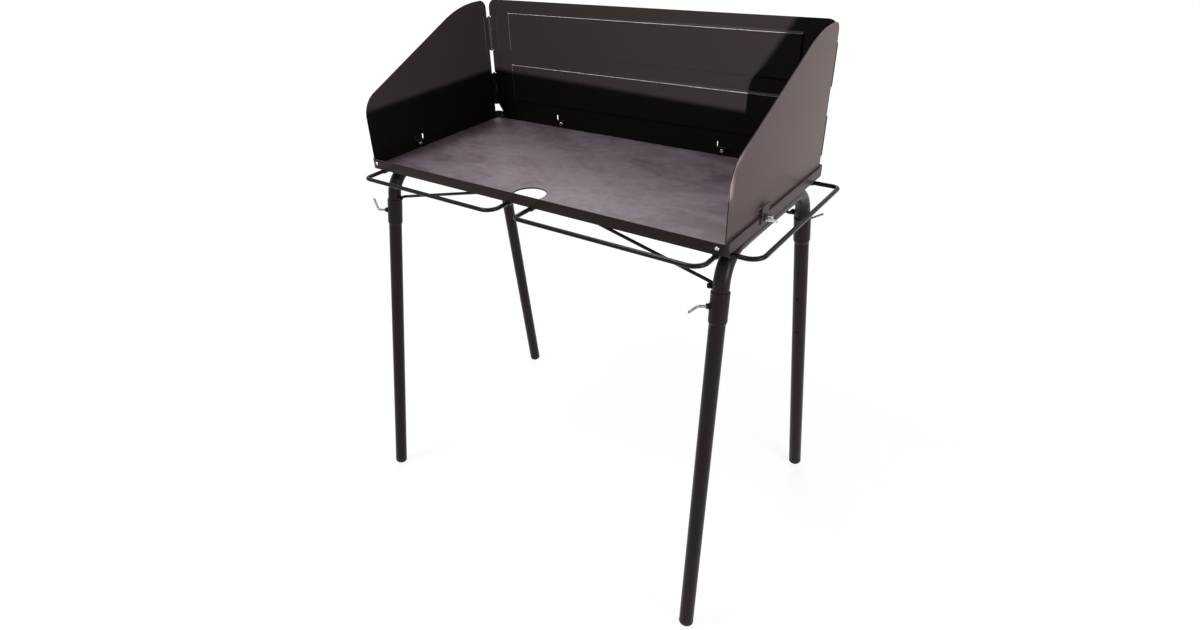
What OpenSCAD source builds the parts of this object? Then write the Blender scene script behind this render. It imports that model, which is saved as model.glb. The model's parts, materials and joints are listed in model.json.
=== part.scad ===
// Free-standing camp cooking table with a folding windscreen, built piece by piece.
// Millimetres, Z up, front toward -Y. The origin is the middle of the cooking surface.

/* [Tray] */
// Tray width from side to side
tray_w = 812; // [760:1:900]
// Tray depth from front to back
tray_d = 404; // [380:1:440]
// Height of the rim rails
rim_h = 20; // [18:0.5:24]
// Sheet thickness of the rim rails
rail_t = 2; // [1.5:0.1:2.5]
// Thickness of the cooking plate
plate_t = 3; // [2:0.5:4]
// Width of the ledge that carries the plate
ledge_w = 16; // [14:0.5:18]
// Outside radius of the rim corners
corner_r = 10; // [8:0.5:11]
// Radius of the hand hole in the plate
hand_hole_r = 33; // [26:1:40]
// Sideways place of the hand hole
hand_hole_x = -12; // [-40:1:40]
// Distance from the front of the tray to the back of the hand hole
hand_hole_back = 74; // [64:1:80]

/* [Windscreen] */
// Sheet thickness of the windscreen panels
screen_t = 1.5; // [1.2:0.1:2]
// Height of the windscreen above the cooking plate
screen_h = 269; // [250:1:300]
// Height where the front edge of a wing would meet its slope
shoulder_h = 130; // [110:1:150]
// Radius of the front shoulder of a wing
shoulder_r = 50; // [30:1:60]
// Level top of a wing, from its back edge to where its slope would meet it
brow_run = 84.4; // [74:0.1:110]
// Radius where the slope runs into the top of a wing
brow_r = 240; // [150:5:245]
// Radius of the rear top corners
top_corner_r = 19; // [10:1:26]
// How far the two long pressings stand out of the back panel
press_rise = 3; // [2:0.25:4]
// Height of each long pressing
press_h = 86; // [70:1:92]
// Height of the lower pressing above the plate
press_low = 48; // [42:1:56]
// Clear band between the two pressings
press_gap = 26; // [20:1:34]
// Plain margin at both ends of the pressings
press_margin = 56; // [46:1:80]
// Height of one hinge
hinge_h = 72; // [50:1:80]
// Height of the lower hinge above the plate
hinge_low = 34; // [30:1:44]
// Height of the upper hinge above the plate
hinge_high = 159; // [140:1:166]
// Radius of a hinge barrel
barrel_r = 3.4; // [3:0.1:3.4]
// Radius of a hinge pin
hinge_pin_r = 1.75; // [1.4:0.05:1.9]

/* [Windscreen clips] */
// Distance of the side clips in front of the tray middle
side_clip_y = 67; // [40:1:90]
// Distance of the back clips from the tray middle
back_clip_x = 203; // [160:1:230]
// Height of the clip screws above the plate
clip_z = 11; // [9:0.25:11.5]
// Radius of a clip screw
clip_screw_r = 4; // [3:0.25:4]
// Width of a clip plate on the rim
clip_plate_w = 28; // [24:1:34]
// How far a clip plate stands above the rim
clip_plate_rise = 18.5; // [12:0.5:20]
// Span of the wings on a clip screw
wing_span = 34; // [26:1:40]

/* [Leg frames] */
// Radius of the leg tubes
tube_r = 14; // [12:0.25:15]
// Wall of the leg tubes
tube_wall = 2; // [1.5:0.1:2.5]
// Distance of each cross tube inside the side of the tray
cross_in = 20; // [20:1:56]
// Depth of the cross tube axis below the plate top
cross_drop = 20; // [20:0.5:24]
// Half length of the cross tube to the corner of its legs
cross_half = 163.6; // [150:0.1:170]
// Outward lean of a leg frame
lean_out = 2.42; // [1:0.01:4]
// Splay of the legs to the front and the back
splay = 8.8; // [5:0.1:10]
// Centre-line radius of the bends in a leg tube
bend_r = 60; // [52:1:62]
// Distance from the tube corner to the mouth of a lower leg
mouth_at = 63.5; // [63:0.5:70]
// Depth of the socket in a lower leg
socket_depth = 54; // [44:1:64]
// Length of a lower leg below its mouth
lower_leg_l = 693; // [500:1:760]
// Radius of a clamp screw
clamp_r = 2.5; // [2:0.25:3]
// Radius of the holes in two lower legs
leg_hole_r = 2.5; // [1.5:0.25:4]

/* [Stays] */
// Radius of the stay rods
stay_r = 3; // [2.5:0.25:3]
// Depth of a stay lug below the cross tube
lug_drop = 56; // [55:0.5:56.5]
// Reach of a stay lug hole from the tube axis
lug_reach = 19; // [18.5:0.25:22]
// Distance of the stay cross bar from the tray middle line
stay_bar_x = 89; // [70:1:110]
// Depth of the stay cross bar below the plate top
stay_bar_drop = 10; // [8:0.5:12]

/* [Hanging rails] */
// Radius of the hanging rail rods
rail_rod_r = 4; // [3:0.25:4]
// How far the rails stand out from the rim
rail_out = 45; // [38:1:60]
// Radius of the tight bend of a rail
rail_bend_r = 12; // [9:1:16]
// Radius of the wide bend of a rail
rail_round_r = 24; // [16:1:30]

/* [Hidden] */
$fn = 64;
arc_steps = 14;
eps = 0.01;
cut = 1;

// Clearances
run_gap = 0.05;
slip_gap = 0.08;
weld_gap = 0.02;
lay_gap = 0.5;
swing_gap = 0.5;

// Tray levels and faces
rim_low = -plate_t - rail_t;
rim_top = rim_low + rim_h;
half_w = tray_w / 2;
half_d = tray_d / 2;
ledge_top = -plate_t;
plate_x = half_w - rail_t - lay_gap;
plate_y = half_d - rail_t - lay_gap;
wrap_l = 4;
tab_t = 1.5;
tab_low = lay_gap;
tab_high = rim_top - 1;
tab_run = 14;
tab_root = 12;
tab_lap = 1;
hand_hole_y = hand_hole_back - hand_hole_r - half_d;
rivet_r = 2;
rivet_head_r = 3.6;
rivet_back_r = 3;
rivet_head_l = 1.2;
rivet_head_bevel = 1;
rivet_back_l = 0.3;
rivet_in = 6;
rivet_x = half_w - corner_r - rivet_in;
rivet_z = 6;
rail_end = half_d - corner_r - wrap_l - lay_gap;
ledge_end = half_d - ledge_w - lay_gap;

// Windscreen faces
side_face = half_w - rail_t - tab_t - lay_gap;
side_inner = side_face - screen_t;
back_face = half_d - rail_t - tab_t - lay_gap;
back_inner = back_face - screen_t;
screen_low = 0.4;
wing_front_gap = 1;
wing_front = -(half_d - rail_t - tab_t - wing_front_gap);
barrel_gap = 0.1;
barrel_off = barrel_r + barrel_gap;
pin_x = side_face - barrel_off;
pin_y = back_face - barrel_off;
tab_in_r = corner_r - rail_t - tab_t;
relief_y = corner_r - half_d - sqrt(2 * tab_in_r * lay_gap - lay_gap * lay_gap) + lay_gap;
relief_top = rim_top + lay_gap;
wing_back_gap = 2;
wing_back = pin_y - barrel_r - wing_back_gap;
back_gap = 4;
back_half = side_face - back_gap;
back_cut_w = 27;
back_cut_h = 38;
foot_r = 3;
press_draft = 4;
press_wall = 0.7 * screen_t;
leaf_t = 1.3;
leaf_wing_w = 17;
leaf_back_w = 22;
knuckle_gap = 0.3;
pin_head_l = 1.2;
pin_head_rim = 0.9;
pin_head_gap = 0.3;
pin_room = pin_head_gap + pin_head_l + swing_gap;

// Clip pieces
slot_half = clip_screw_r + swing_gap;
keeper_t = 2;
keeper_w = 22;
keeper_low = 4;
keeper_top = rim_top + 3;
keeper_lip = 4;
plate_foot = 7;
window_half = clip_plate_w / 2 - swing_gap;
window_h = 10.5;
tip_out = 4;
tip_bevel = 1;
head_gap = 0.6;
hub_r = 7;
hub_l = 11;
hub_taper = 1.5;
wing_t = 3;
wing_l = 12;
wing_rake = 4;
wing_root = 2;
wing_at = 2;
wing_narrow = 3;
wing_round = 3;
wing_tip_round = 4;
wing_roll = 50;

// Leg frame values
cross_x = half_w - cross_in;
turn = 90 - splay;
bend_t = bend_r * tan(turn / 2);
tube_lap = 0.5;
tube_step = 0.05;
stub_gap = 4;
stub_end = mouth_at + socket_depth - stub_gap;
socket_r = tube_r - tube_step + slip_gap;
collar_r = socket_r + tube_wall;
taper_l = 6;
clamp_below = 25;
clamp_at = mouth_at + clamp_below;
clamp_pass = 0.4;
nut_af = 9;
nut_l = 7;
nut_sink = 1.5;
clamp_elbow = 31;
clamp_bend_r = 6;
clamp_bend = 70;
clamp_handle = 24;
clamp_lap = 0.5;
clamp_step = 0.1;
clamp_tip_gap = 0.4;

// Clamp screw headings around each leg, and the roll of each handle
front_left_heading = -45;
front_right_heading = 220;
back_left_heading = 90;
back_right_heading = 88;
front_left_roll = 90;
front_right_roll = 225;
back_left_roll = 150;
back_right_roll = 155;

// Feet, leg holes and pivot straps
foot_h = 14;
foot_round = 7;
foot_plug_l = 20;
hole_first = 190;
hole_pitch = 89;
strap_t = 1.5;
strap_w = 20;
strap_in = 6;
strap_y = cross_half - bend_t - strap_w / 2 - strap_in;
strap_foot = 14;
strap_mouth = 30;

// Stay values
lug_t = 3;
lug_half = 5.5;
hook_bend = 6;
stay_bend = 12;
hook_clear = 2;
lug_y = round(10 * (cross_half + lug_drop * tan(splay))) / 10;
stay_y = lug_y - lug_t / 2 - hook_clear - hook_bend;
hook_end = 5;
hook_l = hook_clear + lug_t + hook_end;
pivot_x = cross_x - lug_reach * cos(lean_out) + lug_drop * sin(lean_out);
pivot_z = -cross_drop - lug_reach * sin(lean_out) - lug_drop * cos(lean_out);
stay_run = pivot_x - stay_bar_x;
stay_rise = -stay_bar_drop - pivot_z;
stay_l = round(10 * norm([stay_run, stay_rise])) / 10;
stay_tilt = atan2(stay_rise, stay_run);
guide_w = 30;
guide_t = 2;
guide_depth = 20;
guide_foot = 14;
guide_gap = 0.6;
guide_half = stay_bar_x + stay_r + guide_gap;

// Hanging rails
rail_rod_z = rim_low - rail_rod_r;
rail_end_gap = 2;
rail_in = ledge_w - rail_end_gap;
left_inset = 29;
right_inset = 19;
front_inset = 21;
back_inset = 38;
front_left_from = left_inset - half_w;
front_left_to = -33;
front_right_from = 21;
front_right_to = half_w - right_inset;
side_from = front_inset - half_d;
side_to = half_d - back_inset;
clip_t = 1.5;
clip_l = 11;
clip_foot = 10;
clip_in = 3;

// Colours
paint = [0.13, 0.12, 0.12];
iron = [0.35, 0.33, 0.34];
zinc = [0.75, 0.76, 0.78];
rubber = [0.06, 0.06, 0.06];

// Shared shapes

// Point list for a closed outline whose corners are rounded by the given radii.
function unit(v) = v / norm(v);
function arc_at(a, b, c, r) =
  let (u = unit(a - b))
  let (v = unit(c - b))
  let (half = acos(u * v) / 2)
  let (mid = b + unit(u + v) * r / sin(half))
  let (p = b + u * r / tan(half) - mid)
  let (q = b + v * r / tan(half) - mid)
  let (from = atan2(p[1], p[0]))
  let (sweep = (atan2(q[1], q[0]) - from + 540) % 360 - 180)
  let (step = sweep / arc_steps)
  [for (i = [0 : arc_steps]) mid + r * [cos(from + i * step), sin(from + i * step)]];
function rounded(pts, radii) =
  let (n = len(pts))
  [for (i = [0 : n - 1]) each radii[i] > 0
    ? arc_at(pts[(i + n - 1) % n], pts[i], pts[(i + 1) % n], radii[i]) : [pts[i]]];

module box(from, to) {
  translate(from) cube(to - from);
}

// Extrude a drawing made in (y, z) along x from one face to another.
module along_x(from, to) {
  translate([from, 0, 0]) rotate([90, 0, 90]) linear_extrude(to - from) children();
}

// Extrude a drawing made in (x, z) along y from one face to another.
module along_y(from, to) {
  translate([0, to, 0]) rotate([90, 0, 0]) linear_extrude(to - from) children();
}

// Turn a piece drawn for the right (side 1) over to the left (side -1).
module mirror_x(side) {
  if (side < 0) mirror([1, 0, 0]) children();
  else children();
}

// Turn a piece drawn for the back (end 1) over to the front (end -1).
module mirror_y(end) {
  if (end < 0) mirror([0, 1, 0]) children();
  else children();
}

// One end rail with its rounded corners, for the front (the back is its mirror image).
module end_rail() {
  bend_x = half_w - corner_r;
  difference() {
    union() {
      box([-bend_x, -half_d, rim_low], [bend_x, rail_t - half_d, rim_top]);
      box([-bend_x, -half_d, rim_low], [bend_x, ledge_w - half_d, ledge_top]);
      for (side = [-1, 1]) mirror_x(side) {
        translate([bend_x, corner_r - half_d, rim_low]) intersection() {
          difference() {
            cylinder(h = rim_h, r = corner_r);
            translate([0, 0, -eps]) cylinder(h = rim_h + 2 * eps, r = corner_r - rail_t);
          }
          translate([0, -corner_r, 0]) cube([corner_r, corner_r, rim_h]);
        }
        box([half_w - rail_t, corner_r - half_d, rim_low],
          [half_w, corner_r + wrap_l - half_d, rim_top]);
      }
    }
    for (side = [-1, 1]) translate([side * rivet_x, -half_d, rivet_z])
      rotate([-90, 0, 0]) cylinder(h = 3 * rail_t, r = rivet_r + run_gap, center = true);
  }
}

// Side rail on the right: upright, ledge and the two corner tabs that lap inside the end rails.
module side_rail() {
  tab_x = half_w - rail_t;
  difference() {
    union() {
      box([tab_x, -rail_end, rim_low], [half_w, rail_end, rim_top]);
      box([half_w - ledge_w, -ledge_end, rim_low], [half_w, ledge_end, ledge_top]);
      for (end = [-1, 1]) mirror_y(-end) corner_tab();
    }
    translate([half_w, -side_clip_y, clip_z]) rotate([0, 90, 0])
      cylinder(h = 3 * rail_t, r = slot_half, center = true);
    for (end = [-1, 1]) translate([rivet_x, end * half_d, rivet_z]) rotate([90, 0, 0])
      cylinder(h = 4 * (rail_t + tab_t), r = rivet_r + run_gap, center = true);
  }
}

// Tab of a side rail that laps inside the front rail round the corner.
module corner_tab() {
  gap = weld_gap;
  outer = corner_r - rail_t - gap;
  face_x = half_w - rail_t;
  face_y = -half_d + rail_t + gap;
  bend_x = half_w - corner_r;
  bend_y = corner_r - half_d;
  high = tab_high - tab_low;
  box([face_x - tab_t, bend_y, tab_low], [face_x - gap, tab_lap - rail_end, tab_high]);
  box([face_x - tab_t, -rail_end, tab_low], [face_x + eps, tab_root - rail_end, tab_high]);
  translate([bend_x, bend_y, tab_low]) intersection() {
    difference() {
      cylinder(h = high, r = outer);
      translate([0, 0, -eps]) cylinder(h = high + 2 * eps, r = outer + gap - tab_t);
    }
    translate([0, -corner_r, 0]) cube([corner_r, corner_r, high]);
  }
  box([bend_x - tab_run, face_y, tab_low], [bend_x, face_y + tab_t - gap, tab_high]);
}

module rivet_front() {
  grip = rail_t + tab_t;
  translate([0, -half_d, rivet_z]) rotate([-90, 0, 0]) {
    cylinder(h = grip, r = rivet_r);
    translate([0, 0, -rivet_head_l])
      cylinder(h = rivet_head_l, r1 = rivet_head_r - rivet_head_bevel, r2 = rivet_head_r);
    translate([0, 0, grip]) cylinder(h = rivet_back_l, r = rivet_back_r);
  }
}

// Clip pieces are drawn for a clip on the right-hand rim, at the origin of y, then placed.
module at_side_clip(side) {
  mirror_x(side) translate([0, -side_clip_y, 0]) children();
}

module at_back_clip(side) {
  translate([side * back_clip_x, half_d - half_w, 0]) rotate([0, 0, 90]) children();
}

module clip_plate() {
  half = clip_plate_w / 2;
  difference() {
    box([half_w, -half, rim_low + plate_foot], [half_w + rail_t, half, rim_top + clip_plate_rise]);
    translate([half_w, 0, clip_z]) rotate([0, 90, 0])
      cylinder(h = 3 * rail_t, r = clip_screw_r + run_gap, center = true);
  }
}

// Opening for one clip, cut through a panel whose outer face is at the given x.
module clip_cut(outer) {
  box([outer - 2 * screen_t, -slot_half, -cut], [outer + screen_t, slot_half, clip_z]);
  translate([outer, 0, clip_z]) rotate([0, 90, 0])
    cylinder(h = 4 * screen_t, r = slot_half, center = true);
  box([outer - 2 * screen_t, -window_half, keeper_top],
    [outer + screen_t, window_half, keeper_top + window_h]);
}

// Slotted keeper on the inside of a panel whose inner face is at the given x.
module keeper(face) {
  half = keeper_w / 2;
  difference() {
    union() {
      box([face - keeper_t, -half, keeper_low], [face, half, keeper_top]);
      box([face - keeper_t - keeper_lip, -half, keeper_top - keeper_t], [face, half, keeper_top]);
    }
    box([face - 2 * keeper_t, -slot_half, 0], [face + cut, slot_half, clip_z]);
    translate([face, 0, clip_z]) rotate([0, 90, 0])
      cylinder(h = 5 * keeper_t, r = slot_half, center = true);
  }
}

// Wing screw through a clip plate, with its tip in the keeper on the given face.
module clip_screw(face) {
  tip = face - keeper_t - tip_out;
  head = half_w + rail_t + head_gap;
  half = wing_span / 2;
  translate([tip, 0, clip_z]) rotate([0, 90, 0]) {
    cylinder(h = tip_bevel, r1 = clip_screw_r - tip_bevel, r2 = clip_screw_r);
    translate([0, 0, tip_bevel]) cylinder(h = head - tip - tip_bevel + eps, r = clip_screw_r);
  }
  translate([head, 0, clip_z]) rotate([0, 90, 0]) cylinder(h = hub_l, r1 = hub_r, r2 = hub_r - hub_taper);
  translate([head + wing_at, 0, clip_z]) for (way = [0, 180]) rotate([wing_roll + way, 0, 0])
    translate([0, wing_t / 2, 0]) rotate([90, 0, 0]) linear_extrude(wing_t)
      polygon(rounded([[0, wing_root], [wing_rake, half - wing_root], [wing_l + wing_rake, half],
        [hub_l - wing_narrow, wing_root]], [0, wing_round, wing_tip_round, 0]));
}

// Back panel outline in (x, z).
module back_outline() {
  x = back_half;
  polygon(rounded([[-x + back_cut_w, screen_low], [x - back_cut_w, screen_low], [x, back_cut_h],
    [x, screen_h], [-x, screen_h], [-x, back_cut_h]],
    [0, 0, 0, top_corner_r, top_corner_r, 0]));
}

// Flat-topped pyramid for one long pressing, growing toward the inside of the screen.
module press_block(low, base_y, rise, shrink) {
  x = back_half - press_margin - shrink;
  z0 = low + shrink;
  z1 = low + press_h - shrink;
  d = press_draft;
  polyhedron(
    points = [[-x, base_y, z0], [x, base_y, z0], [x, base_y, z1], [-x, base_y, z1],
      [d - x, base_y - rise, z0 + d], [x - d, base_y - rise, z0 + d],
      [x - d, base_y - rise, z1 - d], [d - x, base_y - rise, z1 - d]],
    faces = [[0, 1, 2, 3], [7, 6, 5, 4], [4, 5, 1, 0], [5, 6, 2, 1], [6, 7, 3, 2], [7, 4, 0, 3]]);
}

module panel_back() {
  lows = [press_low, press_low + press_h + press_gap];
  difference() {
    union() {
      along_y(back_inner, back_face) back_outline();
      for (low = lows) press_block(low, back_inner + eps, press_rise + eps, 0);
    }
    for (low = lows) press_block(low, back_face + eps, press_rise + eps, press_wall);
    for (side = [-1, 1]) at_back_clip(side) clip_cut(back_face - half_d + half_w);
    for (side = [-1, 1]) each_hinge(side)
      box([pin_x - barrel_r - swing_gap, back_inner - cut, $z - pin_room],
        [half_w, back_face + cut, $z + hinge_h + pin_room]);
  }
}

// Wing outline in (y, z), with a relief at its front foot for the corner of the rim.
module wing_outline() {
  polygon(rounded([[relief_y, screen_low], [relief_y, relief_top], [wing_front, relief_top],
    [wing_front, shoulder_h], [wing_back - brow_run, screen_h], [wing_back, screen_h],
    [wing_back, screen_low]],
    [foot_r, 0, 0, shoulder_r, brow_r, top_corner_r, foot_r]));
}

module wing_panel() {
  difference() {
    along_x(side_inner, side_face) wing_outline();
    translate([0, -side_clip_y, 0]) clip_cut(side_face);
  }
}

// Hinge pieces for the right-hand corner. A hinge has three knuckles, the wing has the middle one.
module knuckle(z0, z1) {
  translate([pin_x, pin_y, z0]) cylinder(h = z1 - z0, r = barrel_r);
}

module knuckle_bore(z) {
  translate([pin_x, pin_y, z - cut]) cylinder(h = hinge_h + 2 * cut, r = hinge_pin_r + run_gap);
}

module wing_leaf(z) {
  low = z + hinge_h / 3 + knuckle_gap;
  high = z + 2 * hinge_h / 3 - knuckle_gap;
  keep = pin_y - barrel_r - swing_gap;
  difference() {
    union() {
      box([side_inner - leaf_t, pin_y - leaf_wing_w, z], [side_inner, keep, z + hinge_h]);
      box([side_inner - leaf_t, keep - eps, low], [side_inner, pin_y, high]);
      knuckle(low, high);
    }
    knuckle_bore(z);
  }
}

module back_leaf(z) {
  third = hinge_h / 3;
  keep = pin_x - barrel_r - swing_gap;
  difference() {
    union() {
      box([pin_x - leaf_back_w, back_inner - leaf_t, z], [keep, back_inner, z + hinge_h]);
      for (low = [z, z + 2 * third]) {
        box([keep - eps, back_inner - leaf_t, low], [pin_x, back_inner, low + third]);
        knuckle(low, low + third);
      }
    }
    knuckle_bore(z);
  }
}

module hinge_pin(z) {
  head = pin_head_l + pin_head_gap;
  translate([pin_x, pin_y, z - head]) cylinder(h = hinge_h + 2 * head, r = hinge_pin_r);
  for (low = [z - head, z + hinge_h + pin_head_gap]) translate([pin_x, pin_y, low])
    cylinder(h = pin_head_l, r = hinge_pin_r + pin_head_rim);
}

// Places its children at both hinges of a corner, with the hinge's height in $z.
module each_hinge(side) {
  mirror_x(side) for (i = [0 : 1]) {
    $z = [hinge_low, hinge_high][i];
    children();
  }
}

// Leg frame placing: the frame origin lies on the cross tube axis, a leg runs down its own -Z.
module in_frame(side) {
  mirror_x(side) translate([cross_x, 0, -cross_drop]) rotate([0, -lean_out, 0]) children();
}

module in_leg(side, end) {
  in_frame(side) translate([0, end * cross_half, 0]) rotate([end * splay, 0, 0]) children();
}

// The run of one bent tube at a given radius, with its open ends run on by extra.
module tube_run(r, extra) {
  flat = cross_half - bend_t;
  rotate([90, 0, 0]) cylinder(h = 2 * flat, r = r, center = true);
  for (end = [-1, 1]) {
    mirror_y(end) translate([0, flat, -bend_r]) rotate([0, -90, 0])
      rotate_extrude(angle = turn) translate([bend_r, 0]) circle(r);
    translate([0, end * cross_half, 0]) rotate([end * splay, 0, 0])
      translate([0, 0, -stub_end - extra])
        cylinder(h = stub_end - bend_t + extra + tube_lap, r = r - tube_step);
  }
}

module leg_tube(side) {
  in_frame(side) difference() {
    tube_run(tube_r, 0);
    tube_run(tube_r - tube_wall, cut);
  }
}

// Drilled lugs on the inner side of both legs of a frame.
module stay_lugs(side) {
  in_frame(side) for (end = [-1, 1]) difference() {
    translate([0, end * lug_y, -lug_drop]) rotate([90, 0, 0]) linear_extrude(lug_t, center = true) {
      translate([-lug_reach, 0]) circle(lug_half);
      translate([-lug_reach, -lug_half]) square([lug_reach - tube_r / 2, 2 * lug_half]);
    }
    translate([-lug_reach, end * lug_y, -lug_drop]) rotate([90, 0, 0])
      cylinder(h = 3 * lug_t, r = stay_r + slip_gap, center = true);
    translate([0, end * cross_half, 0]) rotate([end * splay, 0, 0]) translate([0, 0, -stub_end])
      cylinder(h = stub_end, r = tube_r - tube_step + weld_gap);
  }
}

// One stay: a bent rod with a cross bar at the inner end and a hook in each lug.
module stay(side) {
  b = stay_bend;
  h = hook_bend;
  mirror_x(side) translate([pivot_x, 0, pivot_z]) rotate([0, stay_tilt, 0]) {
    translate([-stay_l, 0, 0]) rotate([90, 0, 0])
      cylinder(h = 2 * (stay_y - b), r = stay_r, center = true);
    for (end = [-1, 1]) mirror_y(end) {
      translate([b - stay_l, stay_y - b, 0]) rotate([0, 0, 90])
        rotate_extrude(angle = 90) translate([b, 0]) circle(stay_r);
      translate([b - stay_l, stay_y, 0]) rotate([0, 90, 0]) cylinder(h = stay_l - b - h, r = stay_r);
      translate([-h, stay_y + h, 0]) rotate([0, 0, -90])
        rotate_extrude(angle = 90) translate([h, 0]) circle(stay_r);
      translate([0, stay_y + h, 0]) rotate([-90, 0, 0]) cylinder(h = hook_l, r = stay_r);
    }
  }
}

// Guide under the plate that holds both stay cross bars.
module guide() {
  low = ledge_top - guide_depth;
  wall_x = guide_half + guide_t;
  foot_x = guide_half + guide_foot;
  along_y(-guide_w / 2, guide_w / 2) difference() {
    union() {
      translate([-wall_x, low - guide_t]) square([2 * wall_x, guide_depth + guide_t]);
      translate([-foot_x, ledge_top - guide_t]) square([2 * foot_x, guide_t]);
    }
    translate([-guide_half, low]) square([2 * guide_half, guide_depth + cut]);
  }
}

// Half-open strap that holds a cross tube from below and from the inner side.
module pivot_strap(side) {
  inner = tube_r + slip_gap;
  outer = inner + strap_t;
  top = cross_drop - plate_t;
  far = 2 * outer;
  for (end = [-1, 1]) mirror_x(side) translate([cross_x, 0, -cross_drop])
    along_y(end * strap_y - strap_w / 2, end * strap_y + strap_w / 2) {
      difference() {
        circle(outer);
        circle(inner);
        polygon([[0, 0], [far * tan(strap_mouth), -far], [far, -far],
          [far, far], [-far, far], [-far, 0]]);
      }
      translate([-outer, 0]) square([strap_t, top]);
      translate([-outer - strap_foot, top - strap_t]) square([strap_foot, strap_t]);
    }
}

// Lower leg: a tube whose top is swaged out into a socket for the tube above it.
module lower_leg(side, end, heading, holes) {
  low = mouth_at + lower_leg_l;
  step = mouth_at + socket_depth;
  in_leg(side, end) difference() {
    rotate_extrude() polygon([[socket_r, -mouth_at], [collar_r, -mouth_at],
      [collar_r, taper_l / 2 - step], [tube_r, -step - taper_l / 2], [tube_r, -low],
      [tube_r - tube_wall, -low], [tube_r - tube_wall, -step], [socket_r, -step]]);
    rotate([0, 0, heading]) translate([socket_r + tube_wall / 2, 0, -clamp_at]) rotate([0, 90, 0])
      cylinder(h = 3 * tube_wall, r = clamp_r + clamp_pass, center = true);
    if (holes) for (i = [0 : 1]) translate([0, -end * tube_r, -mouth_at - hole_first - i * hole_pitch])
      rotate([90, 0, 0]) cylinder(h = 3 * tube_wall, r = leg_hole_r, center = true);
  }
}

// Weld nut on a socket, cut to the socket's round.
module leg_nut(side, end, heading) {
  in_leg(side, end) difference() {
    rotate([0, 0, heading]) translate([collar_r - nut_sink, 0, -clamp_at]) rotate([0, 90, 0])
      cylinder(h = nut_l, r = nut_af / sqrt(3), $fn = 6);
    translate([0, 0, -clamp_at - nut_af]) cylinder(h = 2 * nut_af, r = collar_r + weld_gap);
    rotate([0, 0, heading]) translate([tube_r, 0, -clamp_at]) rotate([0, 90, 0])
      cylinder(h = 3 * nut_l, r = clamp_r + run_gap);
  }
}

// Clamp screw: a straight rod whose outer end is bent over as a handle.
module clamp_screw(side, end, heading, roll) {
  straight = clamp_elbow - tube_r - clamp_tip_gap;
  b = clamp_bend_r;
  in_leg(side, end) rotate([0, 0, heading]) translate([tube_r + clamp_tip_gap, 0, -clamp_at])
    rotate([roll, 0, 0]) {
      rotate([0, 90, 0]) cylinder(h = straight, r = clamp_r);
      translate([straight, b, 0]) {
        rotate([0, 0, -90]) rotate_extrude(angle = clamp_bend) translate([b, 0]) circle(clamp_r);
        rotate([0, 0, clamp_bend - 90]) translate([b, -clamp_lap, 0]) rotate([-90, 0, 0])
          cylinder(h = clamp_handle + clamp_lap, r = clamp_r - clamp_step);
      }
    }
}

// Rubber foot with a plug up inside the leg and a rounded sole.
module leg_foot(side, end) {
  low = mouth_at + lower_leg_l;
  plug = tube_r - tube_wall - run_gap;
  in_leg(side, end) rotate_extrude() union() {
    translate([0, -low]) square([plug, foot_plug_l]);
    translate([0, foot_round - low - foot_h]) square([tube_r, foot_h - foot_round]);
    translate([0, -low - foot_h]) square([tube_r - foot_round, foot_h]);
    intersection() {
      translate([tube_r - foot_round, foot_round - low - foot_h]) circle(foot_round);
      translate([tube_r - foot_round, -low - foot_h]) square(foot_round);
    }
  }
}

// Hanging rail from one arm to the other, drawn along x and standing out toward -y of its rim face.
module hanging_rail(from, to, face, b_from, b_to) {
  out = face + rail_out;
  r = rail_rod_r;
  translate([from, b_from - out, rail_rod_z]) rotate([-90, 0, 0])
    cylinder(h = rail_out - b_from + rail_in, r = r);
  translate([to, b_to - out, rail_rod_z]) rotate([-90, 0, 0])
    cylinder(h = rail_out - b_to + rail_in, r = r);
  translate([from + b_from, b_from - out, rail_rod_z]) rotate([0, 0, 180])
    rotate_extrude(angle = 90) translate([b_from, 0]) circle(r);
  translate([to - b_to, b_to - out, rail_rod_z]) rotate([0, 0, 270])
    rotate_extrude(angle = 90) translate([b_to, 0]) circle(r);
  translate([from + b_from, -out, rail_rod_z]) rotate([0, 90, 0])
    cylinder(h = to - from - b_from - b_to, r = r);
}

// Clips that hold the two arms of a rail under the ledge, each with its foot toward the loop.
module rail_clips(from, to, face) {
  for (i = [0 : 1]) translate([[from, to][i], 0, rail_rod_z]) mirror([i, 0, 0])
    along_y(clip_in - face, clip_in - face + clip_l) rail_clip_section();
}

module rail_clip_section() {
  r = rail_rod_r + weld_gap;
  outer = r + clip_t;
  difference() {
    union() {
      circle(outer);
      translate([-outer, 0]) square([2 * outer, rail_rod_r]);
      translate([0, rail_rod_r - clip_t]) square([outer + clip_foot, clip_t]);
    }
    circle(r);
    translate([-r, 0]) square([2 * r, rail_rod_r + cut]);
    translate([-2 * outer, rail_rod_r]) square(4 * outer);
  }
}

// Pieces

module cook_plate() {
  color(iron) difference() {
    translate([0, 0, -plate_t]) linear_extrude(plate_t)
      polygon(rounded([for (p = [[-1, -1], [1, -1], [1, 1], [-1, 1]]) [p[0] * plate_x, p[1] * plate_y]],
        [corner_r, corner_r, corner_r, corner_r]));
    intersection() {
      translate([hand_hole_x, hand_hole_y, -2 * plate_t]) cylinder(h = 3 * plate_t, r = hand_hole_r);
      box([-half_w, ledge_w + lay_gap - half_d, -2 * plate_t], [half_w, half_d, plate_t]);
    }
  }
}

module front_rail() {
  color(paint) end_rail();
}

module back_rail() {
  color(paint) difference() {
    mirror([0, 1, 0]) end_rail();
    for (side = [-1, 1]) translate([side * back_clip_x, half_d, clip_z]) rotate([90, 0, 0])
      cylinder(h = 3 * rail_t, r = slot_half, center = true);
  }
}

module left_rail() {
  color(paint) mirror([1, 0, 0]) side_rail();
}

module right_rail() {
  color(paint) side_rail();
}

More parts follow.
